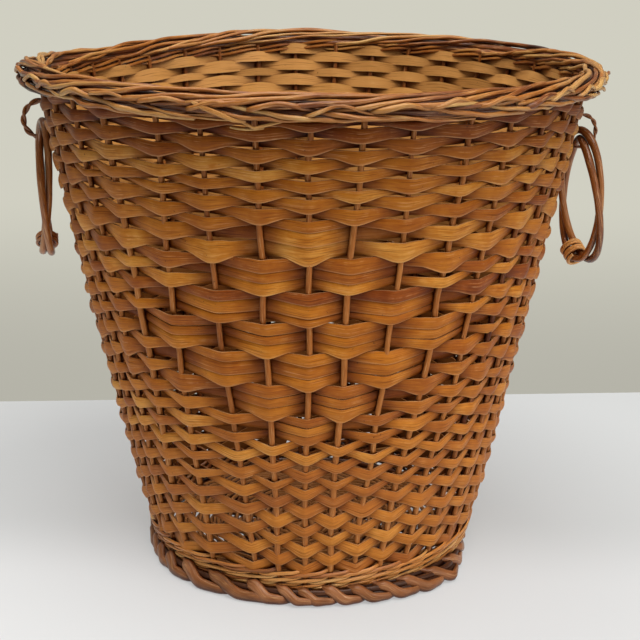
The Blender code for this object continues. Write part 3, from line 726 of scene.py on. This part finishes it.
def rim_roll(rng):
    """Long rods that wrap over the rim, one from each stake.

    Along some seven spacings the angle round the roll goes from its outer side, over the top, to its inner
    side: radius = middle + half width * cos a, height = middle + half height * sin a. Each wanders.
    """
    steps = 60
    share = np.linspace(0, 1, steps)[None, :]
    start = np.arange(STAKE_COUNT)[:, None] + per_stake(rng, 0, 0.22)
    span = 6.4 + per_stake(rng, 0, 0.8)
    angle = np.radians(-24 + 228 * share + 9 * wandering_rods(rng, steps, 7))
    tuck = 1 - 0.30 * (1 - smooth(share / 0.14)) - 0.26 * smooth((share - 0.86) / 0.14)
    tuck = tuck + 0.075 * wandering_rods(rng, steps, 5)
    turn = (start + span * share) * SPACING
    radius = ROLL_RADIUS + ROLL_HALF_WIDTH * tuck * np.cos(angle)
    height = ROLL_HEIGHT + ROLL_HALF_HEIGHT * tuck * np.sin(angle)
    outward = polar(turn, np.cos(angle), np.sin(angle))
    return polar(turn, radius, height), outward, *rim_rod_look(rng, steps, ROLL_GIRTH, 1 - 0.25 * share, 0.52)


def rim_braid(rng):
    """Rods plaited on the rim's outer side, one from each stake.

    A rod rises from under the rim to a kink at its stake, then runs down in a long falling curve: over the
    rod before it, under the next, over the one after. Past the kink at u = 0 its height falls by
    fall * (1 - exp(-u ^ 1.1)), and before it, by a straight climb. A sliding bell rounds the kink.
    """
    steps = 64
    u = np.linspace(BRAID_PLACES[0], BRAID_PLACES[-1], steps)[None, :]
    start = np.arange(STAKE_COUNT)[:, None] + 0.45 + per_stake(rng, 0, 0.16)
    kink = KINK_HEIGHT + per_stake(rng, 0, 0.0007)
    fall = BRAID_FALL + per_stake(rng, 0, 0.0007)
    climb = BRAID_CLIMB + per_stake(rng, 0, 0.0012)
    height = kink - fall * (1 - np.exp(-np.maximum(u, 0) ** 1.1)) + climb * np.minimum(u, 0)
    bell = np.hanning(11)[1:-1]
    padded = np.pad(height, ((0, 0), (4, 4)), mode="edge")
    height = np.stack([np.convolve(row, bell / bell.sum(), mode="valid") for row in padded])
    height = height + 0.00030 * wandering_rods(rng, steps, 6)
    radius = through(u, BRAID_PLACES, BRAID_RADII) + 0.00028 * wandering_rods(rng, steps, 6)
    turn = (start + u) * SPACING
    outward = polar(turn, 1.0, 0.25)
    return polar(turn, radius, height), outward, *rim_rod_look(rng, steps, BRAID_GIRTH, 1 - 0.10 * u, 0.55)


# Loose ends at the front and the right: (turn in degrees, radius, height) for each point, rod radius and tone
LOOSE_ENDS = (
    (((-13.0, 0.1600, 0.2786), (-11.5, 0.1612, 0.2770), (-9.0, 0.1622, 0.2738), (-6.5, 0.1614, 0.2758),
      (-3.4, 0.1600, 0.2780)), 0.0009, 0.75),
    (((-19.5, 0.1640, 0.2846), (-17.4, 0.1656, 0.2828), (-14.8, 0.1655, 0.2802), (-12.4, 0.1645, 0.2776),
      (-10.5, 0.1622, 0.2766)), 0.0013, 0.68),
    (((-13.5, 0.1592, 0.2732), (-12.0, 0.1600, 0.2728), (-10.5, 0.1602, 0.2727), (-9.0, 0.1598, 0.2729),
      (-7.6, 0.1588, 0.2733)), 0.0006, 0.95),
    (((20.0, 0.1635, 0.2838), (22.4, 0.1648, 0.2846), (25.0, 0.1648, 0.2850), (27.5, 0.1640, 0.2850),
      (29.5, 0.1625, 0.2846)), 0.0010, 1.0),
    (((80.0, 0.1632, 0.2845), (83.0, 0.1648, 0.2848), (85.5, 0.1660, 0.2846), (87.5, 0.1668, 0.2842),
      (89.0, 0.1674, 0.2838)), 0.0012, 0.4),
)


def loose_end(points, girth, tone):
    """One short rod through listed points, thinned at its ends by the root of a half sine."""
    points = np.array(points)
    steps = 25
    share = np.linspace(0, len(points) - 1, steps)
    degrees, radius, height = (np.interp(share, np.arange(len(points)), column) for column in points.T)
    turn = np.radians(degrees)
    thin = 0.55 + 0.45 * np.sin(np.linspace(0, math.pi, steps)) ** 0.5
    return polar(turn, radius, height)[None], polar(turn, 1.0, 0.2), girth * thin, tone


def make_rim(material):
    """Rolled and plaited rim, as long round rods, with a few loose ends."""
    heart = hidden_rods(RIM_HEART, 0.0022, 0.16)
    lay_rods("rim_roll", [rim_roll(np.random.default_rng(11)), heart], 8, material,
             nodes=["rim_border"], slot="border_willow")
    lay_rods("rim_braid", [rim_braid(np.random.default_rng(12))], 8, material, slot="border_willow")
    lay_rods("rim_loose_ends", [loose_end(*end) for end in LOOSE_ENDS], 6, material,
             slot="border_willow")


# The foot isn't quite round: how far its plait stands out of a circle, by turn from the front in degrees
FOOT_TURNS = (-180, -90, -62, -42, -20, 0, 20, 42, 52, 64, 90, 180)
FOOT_SWELLS = (-0.0020, -0.0034, 0.0014, 0.0036, 0.0032, 0.0030,
               0.0034, 0.0080, 0.0088, 0.0008, -0.0090, -0.0020)
# Hidden circles of the foot: (radius, height), and the share of the foot's swell that each follows
FOOT_HEART = ((0.0950, 0.0028), (0.0954, 0.0074), (0.0978, 0.0038), (0.0980, 0.0066))
HEART_SWELL_SHARES = np.array([0.9, 0.35, 0.85, 0.62])[:, None, None]
FOOT_GIRTH, FLOOR_GAP, FOOT_LEVEL = 0.0029, 0.0001, 0.01


def foot_swell(turn):
    """How far the foot stands out of a circle at a turn."""
    degrees = np.degrees((turn + math.pi) % TAU - math.pi)
    return np.interp(degrees, FOOT_TURNS, FOOT_SWELLS)


def make_foot(material):
    """Plaited foot: one flattened rod from each stake slants down to the right and ends level.

    Along u, in spacings from where it shows, its height falls by smoothstep and its radius swells out
    and tucks in again under the next rods. Whole circles of rod fill the heart of the plait.
    """
    rng = np.random.default_rng(21)
    steps = 30
    u = np.linspace(-0.25, 1.60, steps)[None, :]
    stake = np.arange(STAKE_COUNT)[:, None]
    height = through(u, (-0.25, 0.0, 0.70, 1.60), (0.0094, 0.0084, 0.0035, 0.0029))
    height = height + per_stake(rng, 0, 0.0004) * smooth(1 - u)
    radius = through(u, (-0.25, 0.05, 0.70, 1.10, 1.60), (0.0968, 0.0990, 0.1000, 0.0996, 0.0972))
    turn = turn_between(stake, u, FOOT_LEVEL) + per_stake(rng, 0, 0.012)
    swell_share = through(u, (-0.25, 0.0, 0.70, 1.60), (0.20, 0.42, 1.0, 0.9))
    radius = radius + swell_share * foot_swell(turn) + per_stake(rng, 0, 0.0004)
    outward = polar(turn, 1.0, -0.1 + 0.6 * smooth(1 - u))
    girth = FOOT_GIRTH * per_stake(rng, 1, 0.10) * through(
        u, (-0.25, 0.10, 0.60, 1.20, 1.60), (0.50, 1.24, 1.18, 0.95, 0.75))
    girth = np.minimum(girth, height - FLOOR_GAP)
    tone = per_stake(rng, 0.5, 0.22) + 0.08 * wandering_rods(rng, steps, 4)
    heart, *heart_look = hidden_rods(FOOT_HEART, 0.0026, 0.0)
    heart_swell = foot_swell(np.arctan2(heart[..., :1], -heart[..., 1:2]))
    heart = heart + unit(heart * (1, 1, 0)) * heart_swell * HEART_SWELL_SHARES
    lay_rods("foot_plait", [(polar(turn, radius, height), outward, girth, tone), (heart, *heart_look)],
             10, material, flat=0.66, nodes=["foot_border"], slot="border_willow")


# Base, in metres: how far it reaches past the solids' base, its rods' radii and their rise over one another
BASE_SPREAD = WALL_LOOSENESS + 0.0012
BASE_STICK_GIRTH, BASE_ROD_GIRTH = 0.0019, 0.00118
STICK_RISE, ROD_RISE, BASE_HUB = 0.0012, 0.0024, 0.0145


def make_base(material):
    """Round base: eight thick sticks crossed at the middle, and thin rods woven round their sixteen arms."""
    rng = np.random.default_rng(31)
    sticks, steps = 8, 40
    low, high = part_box("base_weave")
    middle = (low[2] + high[2]) / 2
    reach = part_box("base_sticks")[1][0] + BASE_SPREAD
    upward = np.array([0.0, 0.0, 1.0])
    along = np.linspace(-1, 1, steps)[None, :] * reach
    angle = (np.arange(sticks)[:, None] + 0.5) * math.pi / sticks
    layer = np.where(np.arange(sticks) % 2 == 0, 1, -1)[:, None]
    height = middle + STICK_RISE * layer * np.exp(-(along / 0.012) ** 2)
    path = np.stack(np.broadcast_arrays(along * np.cos(angle), along * np.sin(angle), height), axis=-1)
    girth = BASE_STICK_GIRTH * (1 - 0.25 * np.abs(along / reach))
    tone = rng.normal(0.5, 0.2, (sticks, 1))
    lay_rods("crossed_sticks", [(path, upward, girth, tone)], 8, material,
             nodes=["base_sticks"], slot="base_willow")

    arms = 2 * sticks
    outer = reach - 0.001
    turns = (outer - BASE_HUB) / (4 * BASE_ROD_GIRTH)
    at = np.arange(0, turns * arms, 0.2)
    strand = np.arange(2)[:, None]
    swing = np.cos(math.pi * (at + strand)) * ROD_RISE
    ripple = BASE_HUB + (outer - BASE_HUB) * (at / arms + strand / 2) / (turns + 0.5)
    turn = at * TAU / arms + math.pi / 2 + math.pi / arms
    tone = 0.5 + 0.25 * wandering_rods(rng, len(at), 60, 2)
    girth = BASE_ROD_GIRTH * (1 + 0.05 * wander(rng, 2 * len(at), 20).reshape(2, -1))
    lay_rods("base_rounds", [(polar(turn, ripple, middle + swing), upward, girth, tone)], 6, material,
             nodes=["base_weave"], slot="base_willow")


# Ring handles, repeated from the solid's own pear-shaped ring
RING_LENGTH, RING_WIDTH, RING_PEAR = 0.0740, 0.0400, 0.12
RING_ROD_RADIUS, RING_STRAND_OFFSET, RING_HALF_TWISTS = 0.00215, 0.0025, 3
LEFT_RING_TURN = math.radians(10.8)
RIGHT_RING_TURN, RIGHT_RING_LEAN = math.radians(22), math.radians(4.5)
BOUND_RADIUS = 0.0047        # of the two strands of a ring together, where cane is wound round them
EYE_CANE, EYE_TWIST = 0.0018, 5.5
RIGHT_EYE_DROP, RIGHT_EYE_PULL = 0.0045, 0.0025


def ring_middle(angle):
    """Pear-shaped middle line in the YZ plane, hung from its top."""
    across = RING_WIDTH / 2 * np.sin(angle) * (1 - RING_PEAR * np.cos(angle))
    down = RING_LENGTH / 2 * (1 - np.cos(angle))
    return np.stack([np.zeros_like(angle), across, -down], axis=-1)


def ring_outward(angle):
    """Unit direction in the ring's plane, square to its middle line, away from its hole."""
    along = unit(ring_middle(angle + 0.01) - ring_middle(angle - 0.01))
    return np.stack([np.zeros_like(angle), -along[..., 2], along[..., 1]], axis=-1)


def make_ring(side_name, side, turn, lean, binding_place, wraps, cane, rod_material, cane_material):
    """One ring: a rod that goes round twice and twists on itself, and thin cane wound round its foot.

    The ring is drawn in the YZ plane with its hanging point at the origin. It is then leaned, turned as its
    solid is, and moved to its hinge.
    """
    joint = next(j for j in frame["joints"] if j["child"] == f"{side_name}_ring")
    hinge = np.array(joint["pos_m"])
    spin = np.array(Matrix.Rotation(turn, 3, "Z") @ Matrix.Rotation(lean, 3, "Y")).T
    rng = np.random.default_rng(50 + side)
    steps = 220
    travel = np.linspace(0, 4 * math.pi, steps)
    swing = (math.pi + RING_HALF_TWISTS * travel) / 2
    off = np.cos(swing)[:, None] * np.array([1, 0, 0]) + np.sin(swing)[:, None] * ring_outward(travel)
    path = ring_middle(travel) + RING_STRAND_OFFSET * off
    knots = 1 + 0.05 * wander(rng, steps, 8)
    tone = 0.5 + 0.14 * wander(rng, steps, 20)
    rod = ((path @ spin + hinge)[None], off @ spin, RING_ROD_RADIUS * knots, tone)
    lay_rods(f"{side_name}_ring_rod", [rod], 10, rod_material, body=f"{side_name}_ring",
             nodes=[f"{side_name}_handle"], slot="handle_willow")

    at = TAU * binding_place
    outward, middle = ring_outward(np.array(at)), ring_middle(np.array(at))
    along = np.cross(outward, (1, 0, 0))
    share = np.linspace(0, 1, 110)
    swing = TAU * wraps * share
    lay = 2.0 * cane * wraps * (share - 0.5) + 0.0004 * np.sin(swing * 0.5)
    out = np.cos(swing)[:, None] * np.array([1, 0, 0]) + np.sin(swing)[:, None] * outward
    wound = BOUND_RADIUS + cane + 0.0002 * np.sin(3 * swing)
    path = middle + lay[:, None] * along + wound[:, None] * out
    wraps_of_cane = ((path @ spin + hinge)[None], out @ spin, cane, 0.6)
    lay_rods(f"{side_name}_ring_wraps", [wraps_of_cane], 8, cane_material, body=f"{side_name}_ring",
             nodes=[f"{side_name}_handle_binding"], slot="binding_cane")


def make_eye(side_name, side, head_drop, pull_in, strand, squareness, material):
    """Eye loop: two thin canes twisted together along a C-shaped line that leaves the wall and returns.

    radius = wall + (reach - wall) * |cos a| ^ squareness, height = middle + half height * sin a. The head may
    be dropped and the reach pulled in from the solid's single cane.
    """
    low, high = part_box(f"{side_name}_eye_loop")
    foot, head = low[2] + EYE_CANE, high[2] - EYE_CANE - head_drop
    reach = max(abs(low[0]), abs(high[0])) - EYE_CANE - pull_in
    angle = np.linspace(-math.pi / 2, math.pi / 2, 80)
    height = (foot + head) / 2 + (head - foot) / 2 * np.sin(angle)
    wall = wall_radius(height) + 0.0005
    radius = wall + (reach - wall) * np.abs(np.cos(angle)) ** squareness
    line = np.stack([side * radius, np.zeros_like(radius), height], axis=-1)
    along = unit(np.gradient(line, axis=0))
    flat = np.cross(along, (0, 1, 0))
    swing = (math.pi * np.arange(2)[:, None] + EYE_TWIST * angle)[..., None]
    off = np.cos(swing) * flat + np.sin(swing) * np.array([0, 1, 0])
    lay_rods(f"{side_name}_eye", [(line + (strand - 0.0001) * off, off, strand, 0.5)], 8, material,
             nodes=[f"{side_name}_eye_loop"], slot="binding_cane")


TABLE_COLOUR = (0.685, 0.735, 0.79)
TABLE_GLOW, TABLE_FAR, TABLE_NEAR = 0.5, (0.64, 0.635, 0.625), (0.85, 0.835, 0.83)
WALL_LOW, WALL_HIGH = (0.462, 0.452, 0.392), (0.632, 0.622, 0.535)
TABLE_EDGE, TABLE_SLANT, STAGE_REACH, WALL_END = 0.242, 0.093, 3.0, 30.0
# The camera looks down by its pitch and leans by its roll, both in radians
CAMERA_PLACE, CAMERA_PITCH, CAMERA_ROLL, CAMERA_LENS = (0.0066, -0.8425, 0.3825), 0.2867, 0.0167, 82.86


def stage_finish(name, share, glow_share, low, high, colour=None):
    """Matt surface that shows the eye and reflections a share of plain pale colour, which no shadow darkens.

    The pale colour goes from low to high with a share worked out from y in metres.
    """
    finish = Finish(name)
    place = finish.node("TexCoord", output=3)
    away = finish.node("SeparateXYZ", output=1, sockets={0: place})
    pale = finish.blend(share(away), low, high)
    finish.set(Base_Color=colour or pale, Roughness=0.8)
    seen = (finish.node("LightPath", output=0) + finish.node("LightPath", output=3)
            + finish.node("LightPath", output=6))
    glow = finish.node("Emission", sockets={"Color": pale, "Strength": 1.0})
    lit = Value(finish, finish.shader.outputs[0])
    mixed = finish.node("MixShader", sockets={0: seen * glow_share, 1: lit, 2: glow})
    finish.feed(finish.tree.nodes["Material Output"].inputs["Surface"], mixed)
    return finish.material


def table_finish():
    """Table: half lit and half plain, and brighter towards the viewer, by y."""
    return stage_finish("table", lambda y: y.rise(0.02, -0.08), TABLE_GLOW, TABLE_FAR, TABLE_NEAR,
                        TABLE_COLOUR)


def wall_finish():
    """Wall past the table: only its plain colour shows, and that grows lighter with its distance."""
    return stage_finish("far_floor", lambda y: (y - CAMERA_PLACE[1]).rise(1.06, 1.85), 1.0,
                        WALL_LOW, WALL_HIGH)


def make_stage():
    """Pale table that ends behind the basket, with a pale wall colour past it."""
    side = STAGE_REACH
    for name, y_low, y_high, material in (
        ("table", -side, TABLE_EDGE, table_finish()),
        ("far_floor", TABLE_EDGE, WALL_END, wall_finish()),
    ):
        mesh = bpy.data.meshes.new(name)
        corners = [(x, y + TABLE_SLANT * x * (y == TABLE_EDGE), 0)
                   for x, y in ((-side, y_low), (side, y_low), (side, y_high), (-side, y_high))]
        mesh.from_pydata(corners, [], [(0, 1, 2, 3)])
        mesh.materials.append(material)
        add_object(name, mesh)


def add_lamp(name, place, aim, size, power, colour=(1.0, 0.95, 0.87)):
    """Square area lamp that faces a point."""
    data = bpy.data.lights.new(name, "AREA")
    data.size = size
    data.energy = power
    data.color = colour
    lamp = add_object(name, data)
    lamp.location = place
    lamp.rotation_euler = (Vector(aim) - Vector(place)).to_track_quat("-Z", "Y").to_euler()


def make_light():
    """Soft room light: a large lamp high in front, a weak low one at the right, one above the back left."""
    add_lamp("key", (0.40, -0.80, 2.15), (0, 0, 0.12), size=1.5, power=44)
    add_lamp("right", (1.7, -1.1, 0.75), (0, 0, 0.15), size=1.0, power=8)
    add_lamp("top", (-0.60, 0.30, 2.1), (-0.3, 0, 0.0), size=1.4, power=20)
    world = bpy.data.worlds.new("room")
    world.use_nodes = True
    background = world.node_tree.nodes["Background"]
    background.inputs["Color"].default_value = (0.60, 0.60, 0.56, 1)
    background.inputs["Strength"].default_value = 0.31
    bpy.context.scene.world = world


def make_camera():
    """Camera in front, a little above the rim, that looks down on the basket and leans by one degree."""
    data = bpy.data.cameras.new("camera")
    data.sensor_width = 36.0
    data.lens = CAMERA_LENS
    camera = add_object("camera", data)
    look = Matrix.Rotation(math.pi / 2 - CAMERA_PITCH, 4, "X") @ Matrix.Rotation(CAMERA_ROLL, 4, "Z")
    camera.matrix_world = Matrix.Translation(CAMERA_PLACE) @ look
    bpy.context.scene.camera = camera


def build():
    """Makes the basket's pieces, the stage, the light and the camera."""
    bpy.context.scene.view_settings.view_transform = "Standard"
    split = willow("split_willow", SPLIT_TONES, split=True, shine=0.12, coat=0.03)
    stake = willow("stake_willow", STAKE_TONES, shaded=True)
    border = willow("border_willow", BORDER_TONES, shade=(0.90, 0.24), wear_and_highlight=0.60, roughness=0.36,
                    shine=0.38, coat=0.22)
    foot = willow("foot_willow", FOOT_TONES, shade=(0.96, 0.36), roughness=0.38, shine=0.30, coat=0.15)
    handle = willow("handle_willow", HANDLE_TONES, roughness=0.32, shine=0.45, coat=0.35)
    base = willow("base_willow", SHADED_BASE_TONES, wear_and_highlight=0.08, roughness=0.5)
    wales = willow("wale_willow", BORDER_TONES, shaded=True, roughness=0.36, shine=0.28, coat=0.12)
    make_stakes(stake)
    make_weave(split)
    wale("foot_wale", foot=0.0088, pitch=0.0038, rounds=3, radius=0.00108, seed=61, material=wales,
         nodes=["lower_wale"])
    wale("top_wale", foot=0.2768, pitch=0.0026, rounds=2, radius=0.00100, seed=62, material=wales,
         nodes=["upper_wale"])
    make_rim(border)
    make_foot(foot)
    make_base(base)
    make_ring("left", -1, LEFT_RING_TURN, lean=0.0, binding_place=0.42, wraps=3.2, cane=0.0010,
              rod_material=handle, cane_material=handle)
    make_ring("right", 1, RIGHT_RING_TURN, -RIGHT_RING_LEAN, binding_place=0.44, wraps=4.6, cane=0.0011,
              rod_material=handle, cane_material=border)
    make_eye("left", -1, head_drop=0.0, pull_in=0.0, strand=0.00095, squareness=0.7, material=handle)
    make_eye("right", 1, RIGHT_EYE_DROP, RIGHT_EYE_PULL, strand=0.0007, squareness=0.5, material=handle)
    make_stage()
    make_light()
    make_camera()


build()
